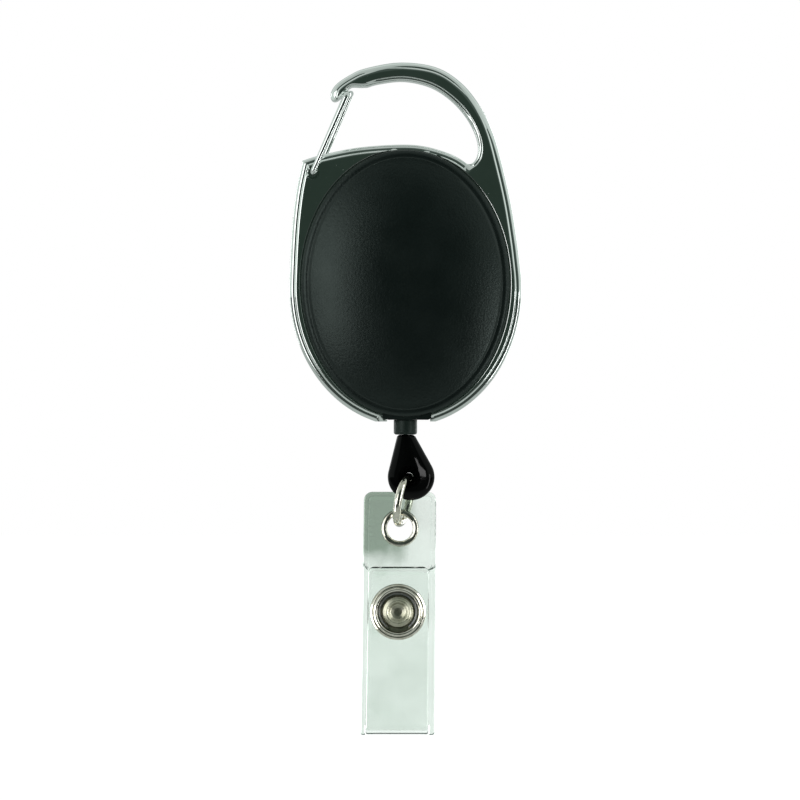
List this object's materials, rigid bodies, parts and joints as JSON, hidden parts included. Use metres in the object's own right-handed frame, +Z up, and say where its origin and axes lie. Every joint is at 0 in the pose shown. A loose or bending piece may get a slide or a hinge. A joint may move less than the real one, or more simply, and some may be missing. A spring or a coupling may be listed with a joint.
{
  "type": "retractable badge reel",
  "caption": "Oval reel with a snap-hook frame, a spring-returned pull cord, a swivelling ring and a clear card strap with a snap.",
  "frame": {"origin": "crown of the hook's opening, where the reel hangs, midway through the frame's depth", "axes": "+Z up, the cord pulls out along -Z; the front of the case faces -Y; +X to the right seen from the front"},
  "size_m": [0.0406, 0.0123, 0.1178],
  "materials": {
    "chrome": "bright plated",
    "black_plastic": "fine matte texture",
    "gloss_black": "gloss",
    "grey_plastic": "satin",
    "white_plastic": "satin",
    "black_cord": "braided",
    "nickel": "nickel plated",
    "steel": "bare",
    "clear_pvc": "clear, slightly green"
  },
  "bodies": {
    "reel_case": {"carabiner_frame": "chrome", "front_cover": "black_plastic", "rear_cover": "black_plastic", "arbor_post": "steel", "case_screw_top": "steel", "case_screw_left": "steel", "case_screw_right": "steel", "thrust_washer": "white_plastic", "cord_guide": "grey_plastic"},
    "gate": {"gate_wire": "chrome"},
    "spool": {"spool": "white_plastic", "cord_winding": "black_cord", "spring_cover": "steel", "power_spring": "steel"},
    "cord_end": {"pull_cord": "black_cord", "cord_knot": "black_cord"},
    "cord_stop": {"teardrop": "gloss_black"},
    "ring": {"jump_ring": "nickel"},
    "strap": {"strap_rear_leaf": "clear_pvc", "strap_fold": "clear_pvc", "eyelet": "nickel", "eyelet_washer": "nickel", "snap_stud": "nickel", "snap_post": "nickel"},
    "strap_flap": {"strap_front_leaf": "clear_pvc", "snap_ring": "nickel", "snap_socket": "nickel", "snap_spring": "steel"}
  },
  "joints": [
    {"name": "gate_hinge", "type": "hinge", "parent": "reel_case", "child": "gate", "pos_m": [-0.0158, 0, -0.016], "axis": [0, 1, 0], "range_deg": [0, 32], "stiffness_Nm_per_rad": 0.02, "springref_deg": -17.19},
    {"name": "cord_pull", "type": "slide", "parent": "reel_case", "child": "cord_end", "axis": [0, 0, -1], "range_m": [0, 0.8], "stiffness_N_per_m": 0.6, "springref_m": -0.8, "deforming": ["pull_cord"]},
    {"name": "spool_spin", "type": "hinge", "parent": "reel_case", "child": "spool", "pos_m": [0, 0, -0.0354], "axis": [0, 1, 0], "range_deg": [0, 4300], "deforming": ["power_spring"]},
    {"name": "teardrop_swivel", "type": "hinge", "parent": "cord_end", "child": "cord_stop", "pos_m": [0, 0, -0.065], "axis": [0, 0, 1], "continuous": true},
    {"name": "ring_swing", "type": "hinge", "parent": "cord_stop", "child": "ring", "pos_m": [0.0006, 0.0011, -0.0692], "axis": [0, 1, 0], "range_deg": [-60, 60]},
    {"name": "strap_swing", "type": "hinge", "parent": "ring", "child": "strap", "pos_m": [-0.0011, 0.0011, -0.0773], "axis": [0, 1, 0], "range_deg": [-25, 40]},
    {"name": "strap_opening", "type": "hinge", "parent": "strap", "child": "strap_flap", "pos_m": [0, 0.00095, -0.1144], "axis": [1, 0, 0], "range_deg": [0, 165], "stiffness_Nm_per_rad": 0.0006, "deforming": ["strap_fold"]}
  ],
  "couplings": [
    {"joint": "spool_spin", "follows": "cord_pull", "rad_per_m": 92.6}
  ]
}
